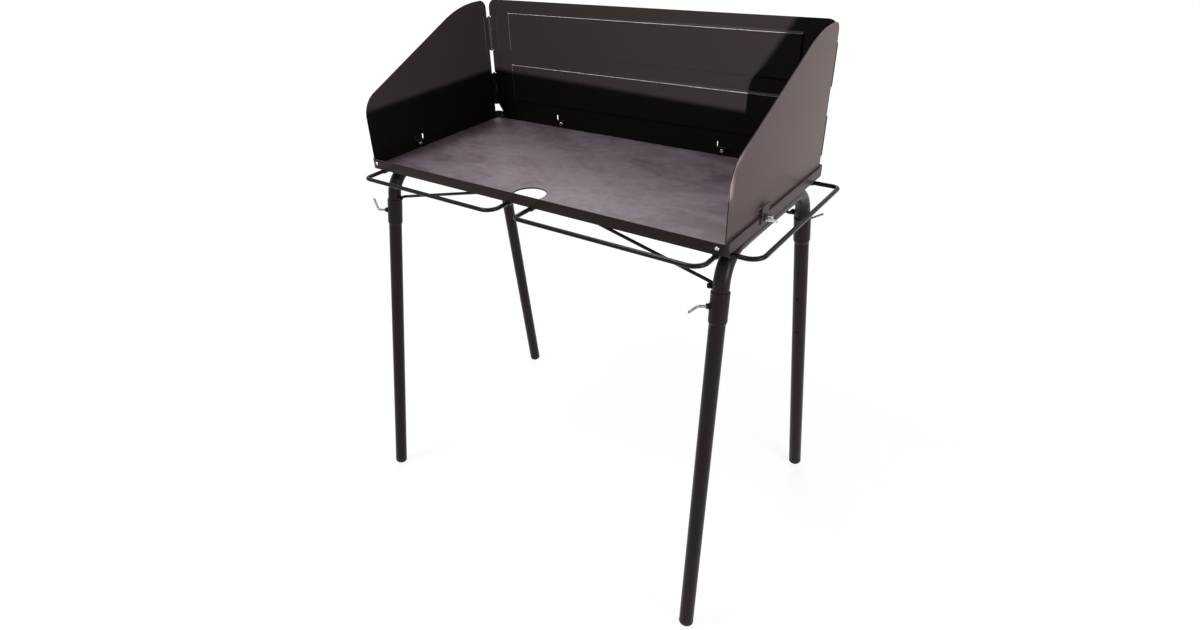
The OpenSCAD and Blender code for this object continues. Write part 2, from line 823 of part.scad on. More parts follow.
module corner_rivets() {
  color(zinc) for (side = [-1, 1], end = [0, 1])
    mirror([0, end, 0]) translate([side * rivet_x, 0, 0]) rivet_front();
}

module clip_plates() {
  color(paint) {
    for (side = [-1, 1]) at_side_clip(side) clip_plate();
    for (side = [-1, 1]) at_back_clip(side) clip_plate();
  }
}

module front_left_hanging_rail() {
  color(paint) hanging_rail(front_left_from, front_left_to, half_d, rail_bend_r, rail_round_r);
}

module front_right_hanging_rail() {
  color(paint) hanging_rail(front_right_from, front_right_to, half_d, rail_bend_r, rail_round_r);
}

module side_hanging_rail() {
  color(paint) rotate([0, 0, 90]) hanging_rail(side_from, side_to, half_w, rail_round_r, rail_bend_r);
}

module hanging_rail_clips() {
  color(paint) {
    rail_clips(front_left_from, front_left_to, half_d);
    rail_clips(front_right_from, front_right_to, half_d);
    rotate([0, 0, 90]) rail_clips(side_from, side_to, half_w);
  }
}

module left_pivot_straps() {
  color(paint) pivot_strap(-1);
}

module right_pivot_straps() {
  color(paint) pivot_strap(1);
}

module stay_guide() {
  color(paint) guide();
}

module back_panel() {
  color(paint) panel_back();
}

module left_wing() {
  color(paint) mirror([1, 0, 0]) wing_panel();
}

module right_wing() {
  color(paint) wing_panel();
}

module left_back_leaves() {
  color(paint) each_hinge(-1) back_leaf($z);
}

module right_back_leaves() {
  color(paint) each_hinge(1) back_leaf($z);
}

module left_wing_leaves() {
  color(paint) each_hinge(-1) wing_leaf($z);
}

module right_wing_leaves() {
  color(paint) each_hinge(1) wing_leaf($z);
}

module left_hinge_pins() {
  color(zinc) each_hinge(-1) hinge_pin($z);
}

module right_hinge_pins() {
  color(zinc) each_hinge(1) hinge_pin($z);
}

module back_keepers() {
  color(paint) for (side = [-1, 1]) at_back_clip(side) keeper(back_inner - half_d + half_w);
}

module left_keeper() {
  color(paint) at_side_clip(-1) keeper(side_inner);
}

module right_keeper() {
  color(paint) at_side_clip(1) keeper(side_inner);
}

module left_leg_tube() {
  color(paint) leg_tube(-1);
}

module left_stay_lugs() {
  color(paint) stay_lugs(-1);
}

module left_stay() {
  color(paint) stay(-1);
}

module right_leg_tube() {
  color(paint) leg_tube(1);
}

module right_stay_lugs() {
  color(paint) stay_lugs(1);
}

module right_stay() {
  color(paint) stay(1);
}

module front_left_leg() {
  color(paint) lower_leg(-1, -1, front_left_heading, true);
}

module front_right_leg() {
  color(paint) lower_leg(1, -1, front_right_heading, false);
}

module back_left_leg() {
  color(paint) lower_leg(-1, 1, back_left_heading, false);
}

module back_right_leg() {
  color(paint) lower_leg(1, 1, back_right_heading, true);
}

module front_left_nut() {
  color(paint) leg_nut(-1, -1, front_left_heading);
}

module front_right_nut() {
  color(paint) leg_nut(1, -1, front_right_heading);
}

module back_left_nut() {
  color(paint) leg_nut(-1, 1, back_left_heading);
}

module back_right_nut() {
  color(paint) leg_nut(1, 1, back_right_heading);
}

module front_left_foot() {
  color(rubber) leg_foot(-1, -1);
}

module front_right_foot() {
  color(rubber) leg_foot(1, -1);
}

module back_left_foot() {
  color(rubber) leg_foot(-1, 1);
}

module back_right_foot() {
  color(rubber) leg_foot(1, 1);
}

module front_left_clamp_screw() {
  color(zinc) clamp_screw(-1, -1, front_left_heading, front_left_roll);
}

module front_right_clamp_screw() {
  color(zinc) clamp_screw(1, -1, front_right_heading, front_right_roll);
}

module back_left_clamp_screw() {
  color(zinc) clamp_screw(-1, 1, back_left_heading, back_left_roll);
}

module back_right_clamp_screw() {
  color(zinc) clamp_screw(1, 1, back_right_heading, back_right_roll);
}

module left_clip_screw() {
  color(zinc) at_side_clip(-1) clip_screw(side_inner);
}

module right_clip_screw() {
  color(zinc) at_side_clip(1) clip_screw(side_inner);
}

module back_left_clip_screw() {
  color(zinc) at_back_clip(-1) clip_screw(back_inner - half_d + half_w);
}

module back_right_clip_screw() {
  color(zinc) at_back_clip(1) clip_screw(back_inner - half_d + half_w);
}

cook_plate();
front_rail();
back_rail();
left_rail();
right_rail();
corner_rivets();
clip_plates();
front_left_hanging_rail();
front_right_hanging_rail();
side_hanging_rail();
hanging_rail_clips();
left_pivot_straps();
right_pivot_straps();
stay_guide();
left_leg_tube();
left_stay_lugs();
right_leg_tube();
right_stay_lugs();
left_stay();
right_stay();
front_left_leg();
front_right_leg();
back_left_leg();
back_right_leg();
front_left_nut();
front_right_nut();
back_left_nut();
back_right_nut();
front_left_foot();
front_right_foot();
back_left_foot();
back_right_foot();
front_left_clamp_screw();
front_right_clamp_screw();
back_left_clamp_screw();
back_right_clamp_screw();
back_panel();
left_back_leaves();
right_back_leaves();
left_hinge_pins();
right_hinge_pins();
back_keepers();
left_wing();
left_wing_leaves();
left_keeper();
right_wing();
right_wing_leaves();
right_keeper();
left_clip_screw();
right_clip_screw();
back_left_clip_screw();
back_right_clip_screw();
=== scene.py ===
import json

import bmesh
import bpy
import numpy as np
from mathutils import Matrix, Vector


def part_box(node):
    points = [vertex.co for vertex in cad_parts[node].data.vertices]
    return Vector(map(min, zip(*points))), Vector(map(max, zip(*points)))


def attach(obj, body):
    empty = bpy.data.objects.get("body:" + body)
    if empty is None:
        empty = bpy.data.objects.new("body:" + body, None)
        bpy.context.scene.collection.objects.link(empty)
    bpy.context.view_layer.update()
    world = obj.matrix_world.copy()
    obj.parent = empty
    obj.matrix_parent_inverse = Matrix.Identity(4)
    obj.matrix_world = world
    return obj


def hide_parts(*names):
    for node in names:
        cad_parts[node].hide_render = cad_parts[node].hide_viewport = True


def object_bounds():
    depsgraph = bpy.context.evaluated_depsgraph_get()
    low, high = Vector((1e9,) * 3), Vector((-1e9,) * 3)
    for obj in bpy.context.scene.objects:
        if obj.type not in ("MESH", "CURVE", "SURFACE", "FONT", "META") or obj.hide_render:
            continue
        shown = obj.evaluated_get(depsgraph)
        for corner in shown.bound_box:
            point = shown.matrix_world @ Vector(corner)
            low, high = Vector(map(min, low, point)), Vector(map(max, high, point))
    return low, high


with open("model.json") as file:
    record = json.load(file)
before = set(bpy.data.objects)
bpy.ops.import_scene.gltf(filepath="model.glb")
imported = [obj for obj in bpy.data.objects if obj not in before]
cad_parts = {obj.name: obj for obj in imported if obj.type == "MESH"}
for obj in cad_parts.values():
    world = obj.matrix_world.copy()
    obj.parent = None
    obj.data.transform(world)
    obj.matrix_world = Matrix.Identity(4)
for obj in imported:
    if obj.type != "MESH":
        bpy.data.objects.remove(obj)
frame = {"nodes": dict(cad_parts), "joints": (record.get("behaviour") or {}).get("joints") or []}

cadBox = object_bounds()
nodes = frame["nodes"]
joints = {joint["name"]: joint for joint in frame["joints"]}


# shader maths: a Val is one output socket, and arithmetic on it adds Math nodes
class Val:
    def __init__(self, graph, socket):
        self.graph = graph
        self.socket = socket

    def calc(self, operation, a, b):
        return self.graph.node("ShaderNodeMath", {"operation": operation}, {0: a, 1: b})

    def __add__(self, other):
        return self.calc("ADD", self, other)

    def __radd__(self, other):
        return self.calc("ADD", other, self)

    def __sub__(self, other):
        return self.calc("SUBTRACT", self, other)

    def __rsub__(self, other):
        return self.calc("SUBTRACT", other, self)

    def __mul__(self, other):
        return self.calc("MULTIPLY", self, other)

    def __rmul__(self, other):
        return self.calc("MULTIPLY", other, self)

    def atLeast(self, other):
        return self.calc("MAXIMUM", self, other)

    def atMost(self, other):
        return self.calc("MINIMUM", self, other)

    def rise(self, low, high):  # smooth step from 0 at low to 1 at high
        return self.graph.node("ShaderNodeMapRange", {"interpolation_type": "SMOOTHSTEP"},
                               {"Value": self, "From Min": low, "From Max": high})

    def swing(self, size):  # a noise about its middle, times the size
        return (self - 0.5) * size


class Graph:
    def __init__(self, tree):
        self.tree = tree
        tree.nodes.clear()

    def node(self, kind, settings=None, sockets=None, take=0):  # settings first, then values or links
        made = self.tree.nodes.new(kind)
        for key, value in (settings or {}).items():
            setattr(made, key, value)
        for key, value in (sockets or {}).items():
            if isinstance(value, Val):
                self.tree.links.new(value.socket, made.inputs[key])
            else:
                made.inputs[key].default_value = value
        return Val(self, made.outputs[take]) if made.outputs else None

    def coords(self, kind="Object"):  # place on the piece in metres, or its Normal
        return self.node("ShaderNodeTexCoord", take=kind)

    def scaled(self, factors):  # place on the piece, each coordinate times its factor
        return self.node("ShaderNodeMapping", {}, {"Vector": self.coords(), "Scale": factors})

    def vector(self, operation, *inputs):  # a number worked out from vectors
        return self.node("ShaderNodeVectorMath", {"operation": operation}, dict(enumerate(inputs)),
                         take="Value")

    def part(self, axis, vector):  # one coordinate of a vector
        return self.node("ShaderNodeSeparateXYZ", {}, {0: vector}, take=axis)

    def noise(self, perMetre, detail=2.0, stretch=(1, 1, 1), warp=0.0):
        return self.node("ShaderNodeTexNoise", {}, {"Vector": self.scaled(stretch), "Scale": perMetre,
                                                    "Detail": detail, "Distortion": warp})

    def mix(self, factor, first, second):  # colour blend
        return self.node("ShaderNodeMix", {"data_type": "RGBA"}, {0: factor, 6: first, 7: second}, take=2)

    def rounded(self, radius, samples=6):  # normal of the same piece with its edges eased over
        return self.node("ShaderNodeBevel", {"samples": samples}, {"Radius": radius})

    def edge(self, eased, gain):  # 0 on a flat, towards 1 along an edge
        flat = self.node("ShaderNodeNewGeometry", take="True Normal")
        return ((1 - self.vector("DOT_PRODUCT", eased, flat)) * gain).atMost(1.0)

    def bump(self, height, distance, normal):
        return self.node("ShaderNodeBump", {}, {"Height": height, "Distance": distance, "Normal": normal})

    def seenDirectly(self):  # 1 for camera, glossy and transmitted rays
        rays = [self.node("ShaderNodeLightPath", take=name)
                for name in ("Is Camera Ray", "Is Glossy Ray", "Is Transmission Ray")]
        return rays[0].atLeast(rays[1]).atLeast(rays[2])

    def show(self, shader, output="ShaderNodeOutputMaterial"):
        self.node(output, {}, {"Surface": shader})


def finish(name, surface, settings):  # surface(graph, settings) gives the sockets of the shader
    material = bpy.data.materials.new(name)
    material.use_nodes = True
    graph = Graph(material.node_tree)
    graph.show(graph.node("ShaderNodeBsdfPrincipled", {}, surface(graph, settings), take="BSDF"))
    return material


# powder coat: orange peel in the skin, soft handling marks in the gloss, thinner and paler on edges
# on the panels the outward faces take a paler colour painted as if lit, and the inward faces a darker one
# as painted shade
panelCoat = {"colour": (0.0072, 0.0057, 0.0055, 1), "paintedLitOutside": (0.024, 0.0185, 0.0178, 1),
             "worn": (0.06, 0.05, 0.048, 1), "paintedHighlight": (0.6, 0.57, 0.56, 1),
             "rough": 0.3, "specular": 0.03, "tint": (1.0, 0.9, 0.88, 1),
             "gloss": 0.55, "glossRough": 0.28, "glossFrom": 0.2, "glossFull": 0.8,
             "sheen": 0.1, "sheenRough": 0.35, "sheenTint": (1.0, 0.74, 0.69, 1),
             "marks": 0.06, "marksPerMetre": 9.0, "marksDetail": 5.0, "marksWarp": 0.6,
             "peelPerMetre": 520.0, "peelDepth": 0.000012,
             "grainFiner": 3.1, "grainDetail": 1.0, "grainHeight": 0.3, "grainRough": 0.04,
             "edgeRadius": 0.0007, "edgeGain": 1.2, "edgeWear": 0.4, "shoulder": 0.0}
leftCoat = dict(panelCoat, outward=(-1, 0, 0))
rightCoat = dict(panelCoat, outward=(1, 0, 0), sheen=1.0, gloss=0.15)
# the back panel's pressings get a painted highlight along their upper edges
backCoat = dict(panelCoat, outward=(0, 1, 0), edgeRadius=0.0012, shoulder=11.0, shoulderFrom=0.05,
                shoulderFull=0.5, faceAt=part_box("back_panel")[0][1], faceFull=0.0006, faceGone=0.0016)
rimCoat = dict(panelCoat, colour=(0.0165, 0.0115, 0.0108, 1), rough=0.36, marks=0.12, peelDepth=0.00002,
               edgeRadius=0.0011, specular=0.1, sheen=0.4)
tubeCoat = dict(panelCoat, colour=(0.0108, 0.0078, 0.0073, 1), marks=0.12, peelPerMetre=700.0,
                peelDepth=0.00003, edgeRadius=0.0006, specular=0.14, sheen=0.05)
rodCoat = dict(tubeCoat, colour=(0.0078, 0.0056, 0.0052, 1), rough=0.2, marks=0.08, peelDepth=0.000015)


def powderCoat(graph, s):
    eased = graph.rounded(s["edgeRadius"])
    edge = graph.edge(eased, s["edgeGain"])
    marks = graph.noise(s["marksPerMetre"], s["marksDetail"], warp=s["marksWarp"])
    peel = graph.noise(s["peelPerMetre"])
    grain = graph.noise(s["grainFiner"] * s["peelPerMetre"], s["grainDetail"])
    paint, gloss = s["colour"], 0.0
    if "outward" in s:  # the outside faces keep their gloss and take a paler colour painted as if lit, the inside faces keep the darker colour as painted shade
        paintedLitOutside = graph.vector("DOT_PRODUCT", graph.coords("Normal"), s["outward"])
        paintedLitOutside = paintedLitOutside.rise(s["glossFrom"], s["glossFull"])
        paint, gloss = graph.mix(paintedLitOutside, s["colour"], s["paintedLitOutside"]), paintedLitOutside * s["gloss"]
    paint = graph.mix(edge * (s["edgeWear"] + marks), paint, s["worn"])
    if s["shoulder"]:  # painted highlight: paler along the upper edge of the face of each pressing, where light from above catches it
        behind = graph.part("Y", graph.coords())
        inFace = 1 - behind.rise(s["faceAt"] + s["faceFull"], s["faceAt"] + s["faceGone"])
        upper = graph.part("Z", eased).rise(s["shoulderFrom"], s["shoulderFull"])
        paintedHighlight = edge * upper * inFace * s["shoulder"]
        paint = graph.mix(paintedHighlight.atMost(1.0), paint, s["paintedHighlight"])
    return {"Base Color": paint,
            "Roughness": s["rough"] + marks.swing(s["marks"]) + grain.swing(s["grainRough"]),
            "Normal": graph.bump(peel + grain * s["grainHeight"], s["peelDepth"], eased),
            "Coat Weight": gloss, "Coat Roughness": s["glossRough"],
            "Specular IOR Level": s["specular"], "Specular Tint": s["tint"],
            "Sheen Weight": s["sheen"], "Sheen Roughness": s["sheenRough"], "Sheen Tint": s["sheenTint"]}


# cooking plate: rolled steel under a thin grey coat, cloudy patches and faint streaks along its length,
# paler in the middle and darker towards its rims, and black on its cut faces as painted shade
plateCoat = {"pale": (0.222, 0.18, 0.212, 1), "dark": (0.105, 0.076, 0.094, 1),
             "grey": (0.172, 0.152, 0.172, 1), "greyFrom": 0.45, "greyFull": 0.7, "greyShare": 0.5,
             "worn": (0.36, 0.33, 0.35, 1), "edgeRadius": 0.0008, "edgeGain": 1.0, "edgeWear": 0.7,
             "cut": (0.006, 0.005, 0.005, 1), "cutFull": 0.1, "cutGone": 0.5,
             "middle": (2.3, 4.2, 0), "middleTo": 0.2, "rimFrom": 1.15, "middleTone": 0.8, "rimFall": 0.62,
             "rough": 0.44, "patchRough": 0.14, "specular": 0.4, "tint": (1.0, 0.92, 0.98, 1),
             "grainDepth": 0.00002, "streakHeight": 0.4,
             "layers": {  # patches a metre, detail, stretch, warp, and the share in the tone
                 "cloud": (5.0, 4.0, (0.7, 1, 1), 0.9, 1.6), "smudge": (19.0, 6.0, (0.6, 1, 1), 0.5, 1.3),
                 "speck": (70.0, 4.0, (0.75, 1, 1), 0.3, 1.3),
                 "streak": (60.0, 3.0, (0.08, 1, 1), 0.0, 0.4),
                 "grain": (1500.0, 2.0, (0.35, 1, 1), 0.0, 0.4)}}


def cookingPlate(graph, s):
    eased = graph.rounded(s["edgeRadius"])
    edge = graph.edge(eased, s["edgeGain"])
    outward = graph.vector("LENGTH", graph.scaled(s["middle"])).rise(s["middleTo"], s["rimFrom"])
    tone = s["middleTone"] - outward * s["rimFall"]
    layer = {}
    for name, (*pattern, share) in s["layers"].items():
        layer[name] = graph.noise(*pattern)
        tone = tone + layer[name].swing(share)
    steel = graph.mix(tone.atLeast(0.0).atMost(1.0), s["dark"], s["pale"])
    greyed = layer["smudge"].rise(s["greyFrom"], s["greyFull"]) * s["greyShare"]
    steel = graph.mix(edge * s["edgeWear"], graph.mix(greyed, steel, s["grey"]), s["worn"])
    # the upright cut faces are painted black as shade
    level = graph.part("Z", graph.coords("Normal"))
    flat = (level * level).rise(s["cutFull"], s["cutGone"])
    patches = layer["cloud"].swing(s["patchRough"]) + layer["smudge"].swing(s["patchRough"])
    height = layer["grain"] + layer["streak"] * s["streakHeight"]
    return {"Base Color": graph.mix(flat, s["cut"], steel), "Roughness": s["rough"] + patches,
            "Normal": graph.bump(height, s["grainDepth"], eased),
            "Specular IOR Level": s["specular"], "Specular Tint": s["tint"]}


# zinc plate: pale metal with fine tool lines and dull patches, darker and rougher on the clamp screws
zincCoat = {"pale": (0.74, 0.73, 0.71, 1), "dull": (0.26, 0.25, 0.24, 1), "dullFrom": 0.35, "dullFull": 0.7,
            "rough": 0.17, "edgeRadius": 0.0004,
            "patchPerMetre": 190.0, "patchDetail": 4.0, "patchWarp": 0.5, "patchRough": 0.3,
            "linesPerMetre": 2600.0, "linesStretch": (1, 1, 0.2), "linesRough": 0.1, "linesDepth": 0.00001}
clampZinc = dict(zincCoat, pale=(0.4, 0.39, 0.38, 1), dull=(0.12, 0.117, 0.115, 1), rough=0.3,
                 patchPerMetre=230.0)


def brightZinc(graph, s):
    eased = graph.rounded(s["edgeRadius"])
    patch = graph.noise(s["patchPerMetre"], s["patchDetail"], warp=s["patchWarp"])
    lines = graph.noise(s["linesPerMetre"], stretch=s["linesStretch"])
    dulled = patch.rise(s["dullFrom"], s["dullFull"])
    return {"Base Color": graph.mix(dulled, s["pale"], s["dull"]), "Metallic": 1.0,
            "Roughness": s["rough"] + patch.swing(s["patchRough"]) + lines.swing(s["linesRough"]),
            "Normal": graph.bump(lines, s["linesDepth"], eased)}


# moulded rubber foot: matt, with a fine grain and dusty patches
rubberSkin = {"colour": (0.012, 0.012, 0.012, 1), "dusty": (0.045, 0.043, 0.04, 1), "rough": 0.78,
              "specular": 0.3, "edgeRadius": 0.0006,
              "dustPerMetre": 70.0, "dustDetail": 5.0, "dustFrom": 0.45, "dustFull": 0.8,
              "grainPerMetre": 900.0, "grainDetail": 3.0, "grainRough": 0.2, "grainDepth": 0.00008}


def mouldedRubber(graph, s):
    eased = graph.rounded(s["edgeRadius"])
    grain = graph.noise(s["grainPerMetre"], s["grainDetail"])
    dust = graph.noise(s["dustPerMetre"], s["dustDetail"])
    return {"Base Color": graph.mix(dust.rise(s["dustFrom"], s["dustFull"]), s["colour"], s["dusty"]),
            "Roughness": s["rough"] + grain.swing(s["grainRough"]),
            "Normal": graph.bump(grain, s["grainDepth"], eased), "Specular IOR Level": s["specular"]}


finishes = {name: finish(name, surface, settings) for name, surface, settings in (
    ("panelPaint", powderCoat, panelCoat), ("leftPaint", powderCoat, leftCoat),
    ("rightPaint", powderCoat, rightCoat), ("backPaint", powderCoat, backCoat),
    ("rimPaint", powderCoat, rimCoat), ("tubePaint", powderCoat, tubeCoat),
    ("plateFinish", cookingPlate, plateCoat), ("zincFinish", brightZinc, zincCoat),
    ("clampFinish", brightZinc, clampZinc), ("rodPaint", powderCoat, rodCoat),
    ("rubberFinish", mouldedRubber, rubberSkin))}

# the first row with a word of the node's name gives its finish, and the rest are painted as the tubes are
wornBy = (("tubePaint", ("lugs", "clips")), ("rodPaint", ("hanging_rail", "left_stay", "right_stay")),
          ("clampFinish", ("clamp_screw",)), ("zincFinish", ("clip_screw", "rivets")),
          ("plateFinish", ("cook_plate",)), ("rubberFinish", ("foot",)),
          ("panelPaint", ("leaves", "keeper", "hinge_pins")), ("leftPaint", ("left_wing",)),
          ("rightPaint", ("right_wing",)), ("backPaint", ("back_panel",)),
          ("rimPaint", ("_rail", "clip_plates")))
for name, piece in nodes.items():
    found = [coat for coat, words in wornBy if any(word in name for word in words)] + ["tubePaint"]
    for slot in piece.material_slots:
        slot.material = finishes[found[0]]
print("finishes on", len(nodes), "nodes")


def linked(name, data):  # new object in the scene
    made = bpy.data.objects.new(name, data)
    bpy.context.scene.collection.objects.link(made)
    return made


# a shell is an array of points (rows, columns, 3), closed round its columns
def shellFaces(rows, columns, start):
    row, column = np.meshgrid(np.arange(rows - 1), np.arange(columns), indexing="ij")
    after = (column + 1) % columns
    corners = [row * columns + column, row * columns + after,
               (row + 1) * columns + after, (row + 1) * columns + column]
    return start + np.stack(corners, axis=-1).reshape(-1, 4)


# points nearer than joinWithin become one, and edges that turn by more than sharpAngle stay sharp
meshing = {"joinWithin": 1e-6, "sharpAngle": 0.75}


def makePiece(name, shells, coat, body, standsFor=()):
    starts = np.cumsum([0] + [shell.shape[0] * shell.shape[1] for shell in shells])
    points = np.concatenate([shell.reshape(-1, 3) for shell in shells])
    faces = np.concatenate([shellFaces(*shell.shape[:2], start) for shell, start in zip(shells, starts)])
    mesh = bpy.data.meshes.new(name)
    mesh.from_pydata(points.tolist(), [], faces.tolist())
    work = bmesh.new()
    work.from_mesh(mesh)
    bmesh.ops.remove_doubles(work, verts=work.verts, dist=meshing["joinWithin"])  # closes the poles
    bmesh.ops.recalc_face_normals(work, faces=work.faces)
    work.to_mesh(mesh)
    work.free()
    mesh.polygons.foreach_set("use_smooth", np.ones(len(mesh.polygons), dtype=bool))
    mesh.set_sharp_from_angle(angle=meshing["sharpAngle"])
    mesh.materials.append(finishes[coat])
    piece = linked(name, mesh)
    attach(piece, body)
    if standsFor:
        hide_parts(*standsFor)


def unit(vectors):
    vectors = np.asarray(vectors, dtype=float)
    return vectors / np.linalg.norm(vectors, axis=-1, keepdims=True)


def placed(matrix, points):  # points moved by a 4 x 4 matrix
    return points @ matrix[:3, :3].T + matrix[:3, 3]


def joinedFrame(origin, axis, across):  # matrix whose z is the axis and whose x leans on across
    axis = unit(axis)
    across = unit(across - axis * np.dot(across, axis))
    matrix = np.eye(4)
    matrix[:3, :3] = np.stack([across, np.cross(axis, across), axis], axis=1)
    matrix[:3, 3] = origin
    return matrix


# profile round the z axis: a point is (radius * cos turn, radius * sin turn, along)
def lathe(along, radius, columns):
    along = np.asarray(along, dtype=float)
    turn = np.linspace(0, 2 * np.pi, columns, endpoint=False)[None, :]
    radius = np.asarray(radius, dtype=float)
    radius = np.broadcast_to(radius if radius.ndim == 2 else radius[:, None], (len(along), columns))
    return np.stack([radius * np.cos(turn), radius * np.sin(turn),
                     np.broadcast_to(along[:, None], radius.shape)], axis=-1)


# screw thread: the radius falls by depth in a V once every pitch, and the V goes round as a helix
def threadRadius(along, radius, columns, start, stop, pitch, depth):
    along = np.asarray(along, dtype=float)
    phase = along[:, None] / pitch - np.linspace(0, 1, columns, endpoint=False)[None, :]
    valley = np.abs(2 * (phase - np.floor(phase)) - 1)
    fade = np.clip((along - start) / pitch, 0, 1) * np.clip((stop - along) / pitch, 0, 1)
    return np.asarray(radius, dtype=float)[:, None] - depth * valley * fade[:, None]


# rod along a path: rings of the given radius stand square to the path, upright to the given normals
def rodAlong(path, radius, normals, columns):
    ahead = unit(np.gradient(path, axis=0))
    side = unit(np.cross(ahead, normals))
    upright = np.cross(side, ahead)
    turn = np.linspace(0, 2 * np.pi, columns, endpoint=False)[None, :, None]
    radius = np.asarray(radius, dtype=float)
    radius = (radius if radius.ndim == 2 else radius[:, None])[..., None]
    ring = np.cos(turn) * side[:, None, :] + np.sin(turn) * upright[:, None, :]
    return path[:, None, :] + radius * ring


def travelled(path):  # length along a path at each of its points
    return np.concatenate([[0.0], np.cumsum(np.linalg.norm(np.diff(path, axis=0), axis=1))])


def roundEnd(toEnd):  # share of the radius: a quarter circle as the way to the end goes from 1 radius to 0
    return np.sqrt(np.clip(1 - (1 - np.clip(toEnd, 0, 1)) ** 2, 0, 1))


# weld bead: a rod with round ends whose radius swells once for every drop of weld
def weldBead(path, normals, s):
    at = travelled(path)
    ends = roundEnd(np.minimum(at, at[-1] - at) / s["radius"])
    drops = 1 + s["swell"] * np.sin(2 * np.pi * at / s["drop"])
    return rodAlong(path, s["radius"] * ends * drops, normals, s["columns"])


# wing screw: threaded shank, coned hub with eased rims and two crowned ears, along z from the rim's face
wingScrew = {"shank": 0.004, "shankRows": 100, "tip": -0.0115, "columns": 36,
             "pitch": 0.00125, "threadDepth": 0.0006, "threadClear": 0.001,
             "hub": 0.0026, "hubLength": 0.011, "hubWide": 0.007, "hubNarrow": 0.0055,
             "ease": 0.0007, "rimSteps": (0, 0.3, 1), "dishSteps": (0.2, 0.4),
             "ear": ((0, 0.002), (0.004, 0.015), (0.016, 0.017), (0.008, 0.002)), "earAt": 0.002,
             "earThick": 0.003, "earRows": 11, "earCrown": 0.3, "roll": 50.0,
             "earLeans": {"left_clip": (0, -1, 0), "right_clip": (0, -1, 0),
                          "back_left_clip": (1, 0, 0), "back_right_clip": (1, 0, 0)}}


# closed outline: a point is set at reach from both ends of each side, then every corner is cut off, time
# after time, at a quarter of its sides
def easedOutline(corners, reach=0.22, times=3, cut=0.25):
    corners = np.asarray(corners, dtype=float)
    after = np.roll(corners, -1, axis=0)
    outline = np.stack([corners, corners + reach * (after - corners), after - reach * (after - corners)],
                       axis=1).reshape(-1, corners.shape[1])
    for _ in range(times):
        after = np.roll(outline, -1, axis=0)
        outline = np.stack([(1 - cut) * outline + cut * after, cut * outline + (1 - cut) * after],
                           axis=1).reshape(-1, outline.shape[1])
    return outline


# crowned ear: its outline shrinks towards its middle as a low power of a cosine, and its height follows
# the sine
def crownedEar(s):
    outline = easedOutline(s["ear"])
    middle = outline.mean(axis=0)
    lean = np.linspace(-np.pi / 2, np.pi / 2, s["earRows"])
    shrink = np.clip(np.cos(lean), 0, 1) ** s["earCrown"]
    flat = middle + shrink[:, None, None] * (outline - middle)[None]
    high = np.broadcast_to(0.5 * s["earThick"] * np.sin(lean)[:, None], flat.shape[:2])
    return np.stack([flat[..., 1], high, flat[..., 0] + s["hub"] + s["earAt"]], axis=-1)


# shank and hub as one turned profile: its rims step in by shares of ease, and its top is slightly dished
def wingScrewShells(s):
    ease, top = s["ease"], s["hub"] + s["hubLength"]
    shank = np.linspace(s["tip"] + ease, s["hub"], s["shankRows"])
    rim = ease * np.array(s["rimSteps"])
    dish = ease * np.array(s["dishSteps"])
    along = np.concatenate([[s["tip"], s["tip"]], shank, s["hub"] + rim, top - rim[::-1], top - dish])
    radius = np.concatenate([[0, s["shank"] - ease], np.full(shank.shape, s["shank"]),
                             s["hubWide"] - rim[::-1], s["hubNarrow"] - rim, [0.5 * s["hubNarrow"], 0]])
    radius = threadRadius(along, radius, s["columns"], s["tip"] + 0.5 * ease, s["hub"] - s["threadClear"],
                          s["pitch"], s["threadDepth"])
    ear = crownedEar(s)
    return [lathe(along, np.maximum(radius, 0), s["columns"]), ear, ear * (-1, -1, 1)]


roll = np.radians(wingScrew["roll"])
screwShells = wingScrewShells(wingScrew)
for body, lean in wingScrew["earLeans"].items():
    turning = joints[body + "_turn"]
    across = np.sin(roll) * np.array(lean) + np.cos(roll) * np.array((0, 0, 1))
    at = joinedFrame(turning["pos_m"], turning["axis"], across)
    makePiece(body + "WingScrew", [placed(at, shell) for shell in screwShells], "zincFinish", body,
              (body + "_screw",))
print("wing screws:", len(wingScrew["earLeans"]))

# leg frames: the cross tube's place, half the frame's width, and its lean and the legs' splay in degrees
legLayout = {"cross": (0.386, 0.0, -0.02), "lean": 2.42, "half": 0.1636, "splay": 8.8}
legSides = {"front_left": (-1, -1), "front_right": (1, -1), "back_left": (-1, 1), "back_right": (1, 1)}


def frameMatrix(side):
    mirror = Matrix.Diagonal((side, 1, 1, 1))
    lean = Matrix.Rotation(np.radians(-legLayout["lean"]), 4, "Y")
    return mirror @ Matrix.Translation(legLayout["cross"]) @ lean


def legMatrix(side, end):
    splay = Matrix.Rotation(np.radians(end * legLayout["splay"]), 4, "X")
    return frameMatrix(side) @ Matrix.Translation((0, end * legLayout["half"], 0)) @ splay


# clamp screw: a rod along a straight line, an arc of a circle and a straight line on from the arc's end,
# threaded on its first stretch and round at the end of its handle
clampScrew = {"radius": 0.0025, "start": 0.0144, "below": 0.0885, "columns": 28,
              "straight": 0.0166, "straightRows": 150, "bend": 0.006, "bendTurn": 70.0, "bendRows": 16,
              "handle": 0.024, "handleRows": 30, "handleRadius": 0.0024, "handleTaper": 0.002,
              "pitch": 0.0008, "threadDepth": 0.0004, "threadStart": 0.0004, "threadEnd": 0.0138,
              "heading": {"front_left": -45, "front_right": 220, "back_left": 90, "back_right": 88},
              "roll": {"front_left": 90, "front_right": 225, "back_left": 150, "back_right": 155}}


